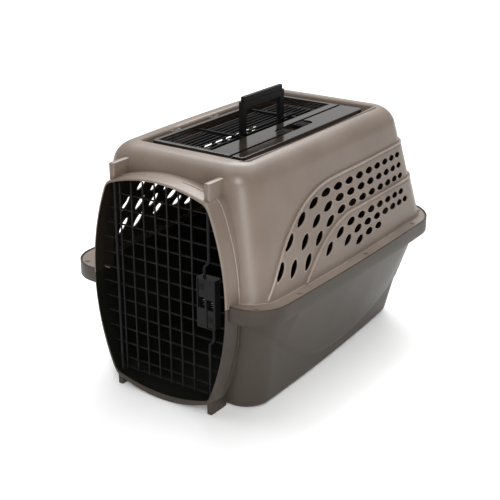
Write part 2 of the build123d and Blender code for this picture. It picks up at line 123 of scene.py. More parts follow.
def finished(name, mesh, material, body, replaces=(), inside=None):
    """Put a mesh in the scene as a smooth piece on its body, its inner faces in a darkened finish that
    paints their shade.
    """
    mesh.validate()
    inner = [p.index for p in mesh.polygons if inside and p.material_index == 1]
    mesh.materials.clear()
    mesh.materials.append(material)
    if inside:
        mesh.materials.append(inside)
        for index in inner:
            mesh.polygons[index].material_index = 1
    mesh.shade_smooth()
    mesh.set_sharp_from_angle(angle=math.radians(34))
    piece = bpy.data.objects.new(name, mesh)
    bpy.context.scene.collection.objects.link(piece)
    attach(piece, body)
    if replaces:
        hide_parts(*replaces)
    return piece


def baked(piece, name=None):
    """Turn a piece with modifiers into a plain mesh and take the piece away."""
    graph = bpy.context.evaluated_depsgraph_get()
    mesh = bpy.data.meshes.new_from_object(piece.evaluated_get(graph))
    mesh.name = name or piece.name
    bpy.data.objects.remove(piece)
    return mesh


def loose_object(name, points, edges, faces):
    """A helper object that isn't part of the carrier, from points in millimetres."""
    mesh = bpy.data.meshes.new(name)
    mesh.from_pydata([[c * MM for c in p] for p in points], edges, faces)
    helper = bpy.data.objects.new(name, mesh)
    bpy.context.scene.collection.objects.link(helper)
    return helper


def skin(rings, closed=True):
    """Quads between rings of equally many points; closed joins the last ring to the first."""
    count = len(rings[0])
    points = [p for ring in rings for p in ring]
    last = len(rings) if closed else len(rings) - 1
    faces = []
    for row in range(last):
        here, there = row * count, (row + 1) % len(rings) * count
        for k in range(count):
            nxt = (k + 1) % count
            faces.append((here + k, here + nxt, there + nxt, there + k))
    return points, faces


def capped(rings):
    """Rings with quads between them and a flat face at each end."""
    points, faces = skin(rings, closed=False)
    count = len(rings[0])
    faces.append(tuple(range(count)))
    faces.append(tuple(range(len(points) - 1, len(points) - count - 1, -1)))
    return points, faces


def prism(outline, low, high, axis):
    """Closed block from an outline: the axis (0, 1 or 2) takes the two given heights."""
    def place(p, q, height):
        at = [p, q]
        at.insert(axis, height)
        return at
    count = len(outline)
    points = [place(p, q, h) for h in (low, high) for p, q in outline]
    faces = [tuple(range(count)), tuple(range(2 * count - 1, count - 1, -1))]
    faces += [(k, k + count, (k + 1) % count + count, (k + 1) % count) for k in range(count)]
    return points, faces


def joined(shapes):
    """Several (points, faces) shapes as one."""
    points, faces = [], []
    for more_points, more_faces in shapes:
        start = len(points)
        points += more_points
        faces += [tuple(start + k for k in face) for face in more_faces]
    return points, faces


def outward(mesh):
    """Recalculate the normals so that every face points out."""
    work = bmesh.new()
    work.from_mesh(mesh)
    bmesh.ops.recalc_face_normals(work, faces=work.faces)
    work.to_mesh(mesh)
    work.free()


def marked(mesh, inner_faces):
    """Give a mesh two places for finishes and mark the faces of its inside, which get the darkened
    finish of painted shade.
    """
    mesh.materials.append(taupe)
    mesh.materials.append(taupe_painted_shade)
    for index in inner_faces:
        mesh.polygons[index].material_index = 1


def carved(name, shape, cutters, inner_faces):
    """Plain mesh of a shape with the cutter shapes taken out of it."""
    body = loose_object(name, shape[0], [], shape[1])
    marked(body.data, inner_faces)
    outward(body.data)
    tool = loose_object(name + "_tool", cutters[0], [], cutters[1])
    # every cutter face is marked inside, so the cut walls of the vent holes and the bore take the
    # painted shade finish
    marked(tool.data, range(len(tool.data.polygons)))
    outward(tool.data)
    cut = body.modifiers.new("cut", "BOOLEAN")
    cut.operation = "DIFFERENCE"
    cut.solver = "EXACT"
    cut.object = tool
    mesh = baked(body, name)
    bpy.data.objects.remove(tool)
    return mesh


# ---------------------------------------------------------------- finishes


def new_finish(name):
    """Empty node material with its shader and a texture coordinate."""
    material = bpy.data.materials.new(name)
    material.use_nodes = True
    nodes = material.node_tree.nodes
    place = nodes.new("ShaderNodeTexCoord")
    return material, nodes, material.node_tree.links, nodes["Principled BSDF"], place


def noise(finish, scale, detail):
    """Noise over the piece's own coordinates."""
    _, nodes, links, _, place = finish
    cloud = nodes.new("ShaderNodeTexNoise")
    cloud.inputs["Scale"].default_value = scale
    cloud.inputs["Detail"].default_value = detail
    links.new(place.outputs["Object"], cloud.inputs["Vector"])
    return cloud.outputs["Fac"]


def tinted(finish, amount, low, dark, high, light):
    """Base colour from dark, where amount is low, to light, where it is high."""
    _, nodes, links, shader, _ = finish
    tone = nodes.new("ShaderNodeValToRGB")
    for stop, position, colour in zip(tone.color_ramp.elements, (low, high), (dark, light)):
        stop.position = position
        stop.color = (*colour, 1.0)
    links.new(amount, tone.inputs["Fac"])
    links.new(tone.outputs["Color"], shader.inputs["Base Color"])


def grained(finish, height, strength, distance):
    """Fine relief from a noise."""
    _, nodes, links, shader, _ = finish
    bump = nodes.new("ShaderNodeBump")
    bump.inputs["Strength"].default_value = strength
    bump.inputs["Distance"].default_value = distance
    links.new(height, bump.inputs["Height"])
    links.new(bump.outputs["Normal"], shader.inputs["Normal"])


def plastic(name, dark, light, roughness, grain, depth=0.06, coat=0.0, sheen=0.5):
    """Moulded plastic: soft colour drift, fine pearl speckle, uneven gloss and moulded grain."""
    finish = new_finish(name)
    material, nodes, links, shader, _ = finish
    drift = noise(finish, 9.0, 4.0)
    blend = nodes.new("ShaderNodeMath")
    blend.operation = "MULTIPLY_ADD"
    links.new(noise(finish, 1500.0, 1.0), blend.inputs[0])
    blend.inputs[1].default_value = 0.35
    links.new(drift, blend.inputs[2])
    tinted(finish, blend.outputs["Value"], 0.45, dark, 0.9, light)
    gloss = nodes.new("ShaderNodeMapRange")
    gloss.inputs["From Min"].default_value = 0.3
    gloss.inputs["From Max"].default_value = 0.7
    gloss.inputs["To Min"].default_value = roughness - 0.05
    gloss.inputs["To Max"].default_value = roughness + 0.06
    links.new(drift, gloss.inputs["Value"])
    links.new(gloss.outputs["Result"], shader.inputs["Roughness"])
    grained(finish, noise(finish, grain, 2.0), depth, 0.0004)
    shader.inputs["Specular IOR Level"].default_value = sheen
    shader.inputs["Coat Weight"].default_value = coat
    shader.inputs["Coat Roughness"].default_value = 0.12
    return material


def coated_wire(name, tone, worn, roughness, metal=0.0):
    """Powder coat on steel wire: orange peel and a few rubbed spots."""
    finish = new_finish(name)
    material, _, _, shader, _ = finish
    tinted(finish, noise(finish, 60.0, 5.0), 0.55, tone, 0.78, worn)
    grained(finish, noise(finish, 900.0, 2.0), 0.12, 0.0002)
    shader.inputs["Roughness"].default_value = roughness
    shader.inputs["Specular IOR Level"].default_value = 0.14
    shader.inputs["Metallic"].default_value = metal
    return material


# each plastic: darker and lighter tone, roughness and scale of its grain
taupe = plastic("taupe pearl plastic", (0.160, 0.123, 0.097), (0.218, 0.171, 0.138), 0.36, 700.0)
# lighter taupe for the beads, vent rims and upper collar beads: the lighter colour is a painted
# highlight along them
taupe_painted_highlight = plastic(
    "taupe plastic rubbed bright on its beads", (0.235, 0.190, 0.157), (0.33, 0.272, 0.230), 0.26, 500.0
)
# near-black taupe for the inside faces, the vent-hole walls and the bore: painted shade on the same
# plastic
taupe_painted_shade = plastic(
    "taupe plastic inside", (0.009, 0.007, 0.005), (0.013, 0.010, 0.007), 0.6, 700.0, sheen=0.1
)
umber = plastic(
    "dark tub plastic", (0.037, 0.029, 0.021), (0.055, 0.044, 0.033), 0.48, 700.0, sheen=0.3
)
# near-black tub plastic for the tub's inside faces and the bore: painted shade on the same plastic
umber_painted_shade = plastic(
    "dark tub plastic inside", (0.004, 0.004, 0.003), (0.006, 0.006, 0.004), 0.6, 700.0, sheen=0.06
)
gloss_brown = plastic(
    "glossy lid plastic",
    (0.018, 0.013, 0.009),
    (0.027, 0.020, 0.015),
    0.12,
    500.0,
    depth=0.015,
    coat=0.4,
)
black_plastic = plastic(
    "black latch plastic",
    (0.004, 0.004, 0.004),
    (0.008, 0.007, 0.007),
    0.4,
    900.0,
    depth=0.1,
    sheen=0.14,
)
black_wire = coated_wire("black coated wire", (0.005, 0.005, 0.006), (0.014, 0.013, 0.012), 0.46)
spring_steel = coated_wire("bright spring wire", (0.42, 0.42, 0.43), (0.55, 0.55, 0.56), 0.3, metal=1.0)

# ---------------------------------------------------------------- plan outlines

side_count, end_count, corner_count = 150, 40, 14


def plan(section, bow=bulge, shift=0.0):
    """Points round a plan section, anticlockwise from the middle of the front."""
    half, front, rear, corner = section[:4]
    back = section[4] if len(section) > 4 else corner
    end = half - bow
    middle, reach = (front + rear) / 2, (rear - front) / 2
    corners = (
        (end - corner, front + corner, -90.0, corner),
        (end - back, rear - back, 0.0, back),
        (back - end, rear - back, 90.0, back),
        (corner - end, front + corner, 180.0, corner),
    )
    straight = (end_count // 2, side_count, end_count, side_count, end_count // 2)
    points = []
    at = (0.0, front)
    for (x, y, start, radius), count in zip(corners, straight):
        turn = [math.radians(start + 90.0 * k / corner_count) for k in range(corner_count + 1)]
        arc = [(x + radius * math.cos(a), y + radius * math.sin(a)) for a in turn]
        points += [mixed(at, arc[0], k / count) for k in range(count)]
        points += arc[:-1]
        at = arc[-1]
    points += [mixed(at, (0.0, front), k / straight[4]) for k in range(straight[4])]
    swell = [1.0 + bow / end * (1.0 - ((y - middle) / reach) ** 2) for x, y in points]
    return [(x * s + shift, y) for (x, y), s in zip(points, swell)]


def pushed(points, amount):
    """Plan points moved outwards by amount(x, y) along the outline's own normal."""
    count = len(points)
    moved = []
    for k, (x, y) in enumerate(points):
        ax, ay = points[k - 1]
        bx, by = points[(k + 1) % count]
        size = math.hypot(bx - ax, by - ay)
        out = amount(x, y)
        moved.append((x + (by - ay) / size * out, y - (bx - ax) / size * out))
    return moved


def at_height(points, z):
    """Plan points lifted to a height."""
    return [(x, y, z) for x, y in points]


# ---------------------------------------------------------------- upper shell surface


def rim_ring(inset, z):
    """One ring of the rim's outline, moved in by an inset."""
    half, front, rear, corner, rear_corner = rim
    section = (half - inset, front + inset, rear - inset, corner - inset, rear_corner - inset)
    return at_height(plan(section), z)


def first_arc(y):
    """Height of the long ridge that bounds the vented panel, along the side."""
    top, bend_from, bend, power = first_ridge
    return top - bend * max(0.0, bend_from - y) ** power


def second_arc(y):
    """Height of the inner ridge of the vented panel, along the side."""
    top, bend_from, bend, power = second_ridge
    return top - bend * max(0.0, bend_from - y) ** power


def panel_step(y, z):
    """How far the two nested vent panels stand out of the plain wall."""
    return sum(vent_step * smooth((arc(y) - z) / step_softness) for arc in (first_arc, second_arc))


def upper_section(z, inset=0.0):
    """Plan section of the upper shell at a height, with the roof's rounded shoulder."""
    half, front, rear, corner = mixed(upper_foot, upper_head, (z - seam) / (roof - seam))
    top = roof - inset
    radius = roof_round - inset
    start = top - radius
    curl = 0.0
    if z > start:
        curl = radius - math.sqrt(max(0.0, radius**2 - (z - start) ** 2))
    move = inset + curl
    return half - move, front + move, rear - move, max(smallest_corner, corner - move)


def upper_ring(z, inset=0.0):
    """One ring of the upper wall, with the vent panels stepped out."""
    flat = plan(upper_section(z, inset))
    return at_height(pushed(flat, lambda x, y: panel_step(y, z)), z)


def wall_heights(top, radius):
    """Heights of the rings from the flange to the flat of the roof."""
    start = top - radius
    steps = 52
    low = [wall_start + (start - wall_start) * k / steps for k in range(steps + 1)]
    turn = [math.radians(9.0 * k) for k in range(1, 11)]
    return low + [start + radius * math.sin(a) for a in turn]


def roof_box(side, end, corner, z, shift=0.0):
    """One ring of a straight-sided outline in the roof."""
    section = (side, recess_y - end, recess_y + end, corner)
    return at_height(plan(section, 0.0, shift), z)


def recess_ring(grow, corner, z):
    """One ring of the lid's recess, made larger all round by grow."""
    return roof_box(recess_side + grow, recess_end + grow, corner, z, recess_x)


def shell_of_roof():
    """Closed surface of the upper shell, outside and inside, and which faces are its inside."""
    rings = [rim_ring(3.3, flange_foot), rim_ring(3.3, flange_top - 0.8), rim_ring(4.1, flange_top)]
    foot = upper_section(flange_top)
    for out, up in ((3.0, 0.0), (1.0, 0.6)):
        flat = plan(tuple(n + s * out for n, s in zip(foot, (1, -1, 1, 0.6))))
        stepped = pushed(flat, lambda x, y: panel_step(y, wall_start))
        rings.append(at_height(stepped, flange_top + up))
    rings += [upper_ring(z) for z in wall_heights(roof, roof_round)]
    # domed roof from its shoulder to the mouth of the recess
    edge = upper_section(roof)
    mouth = (recess_side + 4.0, recess_y - recess_end - 4.0, recess_y + recess_end + 4.0, 12.0)
    for t, dome in ((0.35, 0.5), (0.7, 0.7)):
        flat = plan(mixed(edge, mouth, t), bulge * (1.0 - t), recess_x * t)
        rings.append(at_height(flat, roof + dome))
    # rounded edge and wall of the recess, the ledge with its hole, and the recess from inside
    for grow, lift in ((4.0, 0.8), (1.6, -0.8), (0.4, -2.6), (0.0, -5.0), (0.0, ledge - roof)):
        rings.append(recess_ring(grow, 9.0 + grow, roof + lift))
    rings += [roof_box(hole_side, hole_end, 6.0, z) for z in (ledge, ledge - wall)]
    rings += [recess_ring(wall, 12.0, z) for z in (ledge - wall, roof - wall - 0.5)]
    outer_rings = len(rings) - 3
    inner = [z for z in wall_heights(roof - wall, roof_round - wall)[::3] if z > flange_top + 3.0]
    rings += [upper_ring(z, wall) for z in reversed(inner)]
    rings.append(upper_ring(flange_foot, wall))
    count = len(rings[0])
    return skin(rings), range(outer_rings * count, (len(rings) - 1) * count)


# ---------------------------------------------------------------- collar outline


def bow_through(start, middle, end, count):
    """Points on the circle through three points, without the last one."""
    (ax, ay), (bx, by), (cx, cy) = start, middle, end
    d = 2.0 * (ax * (by - cy) + bx * (cy - ay) + cx * (ay - by))
    a2, b2, c2 = ax**2 + ay**2, bx**2 + by**2, cx**2 + cy**2
    ux = (a2 * (by - cy) + b2 * (cy - ay) + c2 * (ay - by)) / d
    uy = (a2 * (cx - bx) + b2 * (ax - cx) + c2 * (bx - ax)) / d
    radius = math.hypot(ax - ux, ay - uy)
    first = math.atan2(ay - uy, ax - ux)
    last = math.atan2(cy - uy, cx - ux)
    sweep = (last - first + math.pi) % (2.0 * math.pi) - math.pi
    turn = [first + sweep * k / count for k in range(count)]
    return [(ux + radius * math.cos(a), uy + radius * math.sin(a)) for a in turn]


def barrel(inset, sill=0.0, corner=collar_corner):
    """Front view of the collar as (x, z) points, with softened corners."""
    side = collar_seam_x - inset
    top_x, top_z, crest = (size - inset for size in collar_top)
    foot_x, foot_z = collar_foot[0] - inset, collar_foot[1] + inset + sill * 0.4
    sag = collar_foot[2] + inset + sill
    corners = [(top_x, top_z), (foot_x, foot_z), (-foot_x, foot_z), (-top_x, top_z)]
    bows = [(side, seam), (0.0, sag), (-side, seam), (0.0, crest)]
    runs = []
    for k, bow in enumerate(bows):
        runs.append(bow_through(corners[k], bow, corners[(k + 1) % 4], 60))
    points = []
    for k, run in enumerate(runs):
        before, here = runs[k - 1], corners[k]
        reach = [p for p in run if math.dist(p, here) > corner]
        tail = [p for p in before if math.dist(p, here) > corner]
        a, b = tail[-1], reach[0]
        for step in range(1, 8):
            t = step / 8.0
            p, q = mixed(a, here, t), mixed(here, b, t)
            points.append(mixed(p, q, t))
        nxt = corners[(k + 1) % 4]
        points += even([p for p in reach if math.dist(p, nxt) > corner], 48)
    return points


def even(points, count):
    """The same open line with a given number of evenly spaced points."""
    lengths = [0.0]
    for a, b in zip(points, points[1:]):
        lengths.append(lengths[-1] + math.dist(a, b))
    spaced = []
    k = 0
    for n in range(count):
        want = lengths[-1] * n / (count - 1)
        while k < len(points) - 2 and lengths[k + 1] < want:
            k += 1
        t = (want - lengths[k]) / (lengths[k + 1] - lengths[k])
        spaced.append(mixed(points[k], points[k + 1], t))
    return spaced


# ---------------------------------------------------------------- geometry node trees


def new_tree(name, sockets):
    """Empty node group with a geometry input, the named inputs and a geometry output."""
    tree = bpy.data.node_groups.new(name, "GeometryNodeTree")
    tree.interface.new_socket("Geometry", in_out="INPUT", socket_type="NodeSocketGeometry")
    for label, kind in sockets:
        tree.interface.new_socket(label, in_out="INPUT", socket_type="NodeSocket" + kind)
    tree.interface.new_socket("Geometry", in_out="OUTPUT", socket_type="NodeSocketGeometry")
    return tree, tree.nodes.new("NodeGroupInput"), tree.nodes.new("NodeGroupOutput")


def finish_tree(tree, source, start, end):
    """Realize what was made and give it its finish."""
    real = tree.nodes.new("GeometryNodeRealizeInstances")
    coat = tree.nodes.new("GeometryNodeSetMaterial")
    tree.links.new(source, real.inputs["Geometry"])
    tree.links.new(real.outputs["Geometry"], coat.inputs["Geometry"])
    tree.links.new(start.outputs["Finish"], coat.inputs["Material"])
    tree.links.new(coat.outputs["Geometry"], end.inputs["Geometry"])


def wire_tree():
    """Round wire drawn along every edge line, thinned where the line's own swell says so."""
    tree, start, end = new_tree(
        "drawn wire", (("Wire radius", "Float"), ("Sides", "Int"), ("Finish", "Material"))
    )
    line = tree.nodes.new("GeometryNodeMeshToCurve")
    section = tree.nodes.new("GeometryNodeCurvePrimitiveCircle")
    sweep = tree.nodes.new("GeometryNodeCurveToMesh")
    swell = tree.nodes.new("GeometryNodeInputNamedAttribute")
    swell.inputs["Name"].default_value = "swell"
    sweep.inputs["Fill Caps"].default_value = True
    tree.links.new(start.outputs["Geometry"], line.inputs["Mesh"])
    tree.links.new(start.outputs["Wire radius"], section.inputs["Radius"])
    tree.links.new(start.outputs["Sides"], section.inputs["Resolution"])
    tree.links.new(line.outputs["Curve"], sweep.inputs["Curve"])
    tree.links.new(section.outputs["Curve"], sweep.inputs["Profile Curve"])
    tree.links.new(swell.outputs["Attribute"], sweep.inputs["Scale"])
    finish_tree(tree, sweep.outputs["Mesh"], start, end)
    return tree


def set_tree():
    """One shape set at every point, turned and sized by the point's own turn and size."""
    tree, start, end = new_tree("set in rows", (("Shape", "Object"), ("Finish", "Material")))
    shape = tree.nodes.new("GeometryNodeObjectInfo")
    place = tree.nodes.new("GeometryNodeInstanceOnPoints")
    tree.links.new(start.outputs["Shape"], shape.inputs["Object"])
    tree.links.new(shape.outputs["Geometry"], place.inputs["Instance"])
    tree.links.new(start.outputs["Geometry"], place.inputs["Points"])
    for name, socket in (("turn", "Rotation"), ("size", "Scale")):
        value = tree.nodes.new("GeometryNodeInputNamedAttribute")
        value.data_type = "FLOAT_VECTOR"
        value.inputs["Name"].default_value = name
        tree.links.new(value.outputs["Attribute"], place.inputs[socket])
    finish_tree(tree, place.outputs["Instances"], start, end)
    return tree


drawn_wire, set_in_rows = wire_tree(), set_tree()


def grown(helper, tree, **values):
    """Plain mesh that a tree makes from a helper object, with its named inputs set."""
    grow = helper.modifiers.new(tree.name, "NODES")
    grow.node_group = tree
    for item in tree.interface.items_tree:
        key = item.name.lower().replace(" ", "_")
        if item.in_out == "INPUT" and key in values:
            grow[item.identifier] = values[key]
    return baked(helper)


def wires(name, lines, radius, material, body, replaces=(), sides=14):
    """Round wires along lines of points, in millimetres, with rounded ends."""
    points, edges, swells = [], [], []
    for line in lines:
        a, b = Vector(line[0]), Vector(line[1])
        y, z = Vector(line[-1]), Vector(line[-2])
        head, tail = (b - a).normalized(), (z - y).normalized()
        steps = ((0.0, 0.35), (0.12, 0.66), (0.45, 0.93), (0.9, 1.0))
        run = [(a + head * s * radius, w) for s, w in steps]
        run += [(Vector(p), 1.0) for p in line[1:-1]]
        run += [(y + tail * s * radius, w) for s, w in reversed(steps)]
        first = len(points)
        points += [tuple(p) for p, w in run]
        swells += [w for p, w in run]
        edges += [(k, k + 1) for k in range(first, len(points) - 1)]
    helper = loose_object(name + "_line", points, edges, [])
    swell = helper.data.attributes.new("swell", "FLOAT", "POINT")
    swell.data.foreach_set("value", swells)
    mesh = grown(helper, drawn_wire, wire_radius=radius * MM, sides=sides, finish=material)
    return finished(name, mesh, material, body, replaces)


def set_out(name, shape, places, material):
    """Mesh of one (points, faces) shape at every (point, turn, size) place, in millimetres."""
    pattern = loose_object(name + "_shape", shape[0], [], shape[1])
    outward(pattern.data)
    helper = loose_object(name + "_points", [p for p, t, s in places], [], [])
    for label, rows in (("turn", [t for p, t, s in places]), ("size", [s for p, t, s in places])):
        layer = helper.data.attributes.new(label, "FLOAT_VECTOR", "POINT")
        layer.data.foreach_set("vector", [c for row in rows for c in row])
    mesh = grown(helper, set_in_rows, shape=pattern, finish=material)
    bpy.data.objects.remove(pattern)
    mesh.name = name
    return mesh


# ---------------------------------------------------------------- vents of the upper shell

# each row: height where it runs level, y where it starts to fall, first place in the row, vents
vent_rows = (
    (330.0, -45.0, 0.0, 13),
    (311.0, -15.0, 1.0, 12),
    (292.0, 5.0, 2.0, 11),
    (266.0, 20.0, 3.5, 9),
    (249.0, 45.0, 5.0, 8),
    (232.0, 60.0, 6.0, 3),
)
row_bend = 0.0027
row_start, row_pitch, row_closing = -222.0, 41.5, 0.045
front_shift, front_drop = 7.0, 9.0
leaf_size = (29.5, 15.0)
leaf_longest, leaf_shortening = 34.0, 1.2
leaf_points = 22


def side_x(y, z):
    """How far the side wall stands out at a place on it."""
    half, front, rear = upper_section(z)[:3]
    middle, reach = (front + rear) / 2, (rear - front) / 2
    return half - bulge + bulge * (1.0 - ((y - middle) / reach) ** 2) + panel_step(y, z)


def leaf_turn(side, bow, tilt, lean):
    """Turn of a vent that lies in the wall, given the wall's bow and tilt there and its own lean."""
    out = Vector((side, -bow, -tilt)).normalized()
    along = Vector((0.0, math.cos(lean), math.sin(lean)))
    along = (along - out * along.dot(out)).normalized()
    return tuple(Matrix((along, out.cross(along), out)).transposed().to_euler())


def vent_places():
    """Place, turn and size of every vent on both sides."""
    for plateau, knee, first, count in vent_rows:
        for number in range(count):
            step = first + number
            foremost = max(0.0, 1.0 - step)
            y = row_start + row_pitch * step - row_closing * step**3 + front_shift * foremost
            drop = max(0.0, knee - y)
            z = plateau - row_bend * drop**2 - front_drop * foremost
            lean = math.atan(2.0 * row_bend * drop) + math.radians(-1.0 + min(9.0, 0.07 * drop))
            grow = (leaf_longest - leaf_shortening * step) / leaf_size[0]
            size = (1.06 * grow, 1.03 - 0.026 * step, 1.0)
            bow = (side_x(y + 8.0, z) - side_x(y - 8.0, z)) / 16.0
            tilt = (upper_section(z + 10.0)[0] - upper_section(z - 10.0)[0]) / 20.0
            for side in (-1.0, 1.0):
                yield (side * side_x(y, z), y, z), leaf_turn(side, bow, tilt, lean), size


def leaf(grow=0.0):
    """Outline of a leaf-shaped vent, rounder at its upper end."""
    length, width = leaf_size[0] / 2 + grow, leaf_size[1] / 2 + grow
    points = []
    for k in range(leaf_points):
        a = 2.0 * math.pi * k / leaf_points
        u = math.cos(a)
        taper = abs(math.sin(a)) ** 0.25
        points.append((u * length, math.sin(a) * width * taper * (0.97 + 0.16 * u)))
    return points


def leaf_rim():
    """Low rounded rim round a vent, as a ring of sections."""
    levels = ((2.1, -0.8), (2.0, 0.0), (1.5, 0.75), (0.7, 0.95), (0.0, 0.5), (-0.2, -0.8))
    return skin([[(x, y, z) for x, y in leaf(grow)] for grow, z in levels])


leaf_plug = prism(leaf(), -14.0, 9.0, 2)

# ---------------------------------------------------------------- collar round the front door


def collar_ring(y, inset=0.0, sill=0.0, flare=0.0, corner=collar_corner):
    """One outline of the collar at a depth."""
    return [(x * (1.0 + flare / collar_seam_x), y, z) for x, z in barrel(inset, sill, corner)]


def collar_shape():
    """Closed tube: flared outer face, rolled front lip and bore with a raised sill."""
    flares = ((collar_back, 5.5), (-282.0, 4.6), (-293.0, 1.6), (lip_start, 0.0))
    rings = [collar_ring(y, flare=flare) for y, flare in flares]
    for turn in range(9, 91, 9):
        a = math.radians(turn)
        rings.append(collar_ring(lip_start - lip_depth * math.sin(a), lip_width * (1.0 - math.cos(a))))
    bore_start = len(rings) + 1
    bore = ((-305.4, 3.3, 3.0), (-304.6, 3.4, 1.0), (-300.0, 3.5, 0.0), (-290.0, 3.6, 0.0))
    for y, inset, below in (*bore, (collar_back, 4.0, 0.0)):
        rings.append(collar_ring(y, inset, sill_rise - below, corner=bore_corner))
    count = len(rings[0])
    return skin(rings), range(bore_start * count, (len(rings) - 1) * count)


def leaned(mesh):
    """Lean the left side of the upper shell outwards, most at the roof."""
    for point in mesh.vertices:
        x, z = point.co.x / MM, point.co.z / MM
        sideways = min(1.0, max(0.0, (-x - lean_start) / lean_width))
        point.co.x -= left_lean * sideways * max(0.0, (z - seam) / (roof - seam)) * MM


def half_of(shape, above, name):
    """Mesh of the part of a closed shape above or below the seam, closed with a flat face."""
    work = bmesh.new()
    (points, faces), inner = shape
    helper = loose_object(name, points, [], faces)
    marked(helper.data, inner)
    outward(helper.data)
    work.from_mesh(helper.data)
    height = (seam + (0.25 if above else -0.25)) * MM
    cut = bmesh.ops.bisect_plane(
        work,
        geom=work.verts[:] + work.edges[:] + work.faces[:],
        plane_co=(0.0, 0.0, height),
        plane_no=(0.0, 0.0, 1.0),
        clear_inner=above,
        clear_outer=not above,
    )
    rim_edges = [e for e in cut["geom_cut"] if isinstance(e, bmesh.types.BMEdge)]
    bmesh.ops.holes_fill(work, edges=rim_edges)
    bmesh.ops.recalc_face_normals(work, faces=work.faces)
    mesh = helper.data.copy()
    work.to_mesh(mesh)
    work.free()
    mesh.name = name
    bpy.data.objects.remove(helper)
    return mesh


# ---------------------------------------------------------------- lower shell surface


def crease(y):
    """Height of the curved crease where the side panel meets the lower wall."""
    return crease_low + (crease_bend_front if y < 0.0 else crease_bend_rear) * y**2


def panel_out(y, z):
    """How far the side panel stands out of the lower wall."""
    low = crease(y)
    if z < low - 3.0 or low > skirt_low - 2.0:
        return 0.0
    height = skirt_low - low
    rise = min(1.0, max(0.0, (z - low) / height))
    fade = min(1.0, height / fade_height) * (1.0 - fade_share * smooth((y - fade_middle) / fade_width))
    crisp = panel_edge * smooth((z - low) / edge_softness) * min(1.0, max(0.45, (y + 200.0) / 260.0))
    return ((panel_reach - panel_edge) * rise + crisp) * fade


def lower_section(z, inset=0.0):
    """Plan section of the lower shell at a height, with its rounded foot."""
    t = (z - base_height) / (seam - base_height)
    half, front, rear, corner = mixed(lower_foot, lower_head, t)
    low = base_height + inset
    radius = base_round - inset
    curl = 0.0
    if z < low + radius:
        curl = radius - math.sqrt(max(0.0, radius**2 - (low + radius - z) ** 2))
    move = inset + curl
    return half - move, front + move, rear - move, max(smallest_corner, corner - move)


def lower_ring(z, inset=0.0):
    """One ring of the lower wall with its side panel, narrower to the rear at its foot."""
    lean = foot_taper * (1.0 - z / seam)
    flat = [(x * (1.0 - lean * y), y) for x, y in plan(lower_section(z, inset))]
    return at_height(pushed(flat, lambda x, y: panel_out(y, z)), z)


def lower_heights(low, radius, steps):
    """Heights of the rings of the tub's wall, from the floor up."""
    turn = [math.radians(10.0 * k) for k in range(10)]
    rise = [low + radius * (1.0 - math.cos(a)) for a in turn]
    start, end = rise[-1], skirt_low - 0.6
    return rise[:-1] + [start + (end - start) * k / steps for k in range(steps + 1)]


def shell_of_tub():
    """Closed surface of the lower shell, and which faces are its inside."""
    rings = [lower_ring(z) for z in lower_heights(base_height, base_round, 46)]
    for inset, z in (
        (2.4, skirt_low),
        (0.5, skirt_low + 0.1),
        (0.0, skirt_low + 0.9),
        (0.0, 190.0),
        (0.0, lip_top - 1.0),
        (0.8, lip_top),
        (2.2, lip_top),
        (3.0, lip_top - 0.8),
        (3.0, seam),
    ):
        rings.append(rim_ring(inset, z))
    inside = tuple(n + wall * s for n, s in zip(lower_head, (-1, 1, -1, -1)))
    rings.append(at_height(plan(inside), seam))
    outer_rings = len(rings)
    inner_heights = lower_heights(base_height + wall, base_round - wall, 20)
    rings += [lower_ring(z, wall) for z in reversed(inner_heights)]
    points, faces = capped(rings)
    return (points, faces), [*range(outer_rings * len(rings[0]), len(faces) - 2), len(faces) - 1]


def slab(low, high, corner=0.0, soft=1.0):
    """Block between two corners with rounded upright edges and a softened top and bottom."""
    middle = [(a + b) / 2 for a, b in zip(low, high)]
    half = [(b - a) / 2 for a, b in zip(low, high)]
    bottom, top = low[2], high[2]
    rings = []
    for inset, z in (
        (soft, bottom),
        (0.0, bottom + soft),
        (0.0, top - soft),
        (soft * 0.3, top - soft * 0.3),
        (soft, top),
    ):
        radius = max(corner - inset, 0.4)
        ring = []
        for sx, sy, start in ((1, -1, -90.0), (1, 1, 0.0), (-1, 1, 90.0), (-1, -1, 180.0)):
            for k in range(6):
                a = math.radians(start + 18.0 * k)
                x = middle[0] + sx * (half[0] - inset - radius) + radius * math.cos(a)
                y = middle[1] + sy * (half[1] - inset - radius) + radius * math.sin(a)
                ring.append((x, y, z))
        rings.append(ring)
    return capped(rings)


bore_plug = prism(barrel(2.8, sill_rise - 1.0), -330.0, -236.0, 1)

# ---------------------------------------------------------------- shells put together

vents = list(vent_places())
leaf_plugs = set_out("vent_plugs", leaf_plug, vents, taupe)
plug_points = [tuple(c / MM for c in v.co) for v in leaf_plugs.vertices]
plug_faces = [tuple(p.vertices) for p in leaf_plugs.polygons]
roof_shell, roof_inside = shell_of_roof()
openings = joined([bore_plug, (plug_points, plug_faces)])
upper_mesh = carved("upper_shell_wall", roof_shell, openings, roof_inside)
leaned(upper_mesh)
# inner faces and vent-hole walls of the upper shell in the darkened finish of painted shade
finished("upper_shell_wall", upper_mesh, taupe, "carrier", ("upper_shell",), taupe_painted_shade)
# vent rims in the lightened finish of painted highlight
rims = set_out("vent_rims", leaf_rim(), vents, taupe_painted_highlight)
leaned(rims)
finished("vent_rims", rims, taupe_painted_highlight, "carrier")
tub_shell, tub_inside = shell_of_tub()
lower_mesh = carved("lower_shell_wall", tub_shell, bore_plug, tub_inside)
# inner faces and bore walls of the tub in the darkened finish of painted shade
finished("lower_shell_wall", lower_mesh, umber, "carrier", ("lower_shell",), umber_painted_shade)
# the collar's bore faces in the darkened finish of painted shade
for name, above, outer, inner in (
    ("collar_upper", True, taupe, taupe_painted_shade),
    ("collar_lower", False, umber, umber_painted_shade),
):
    finished(name, half_of(collar_shape(), above, name), outer, "carrier", (), inner)

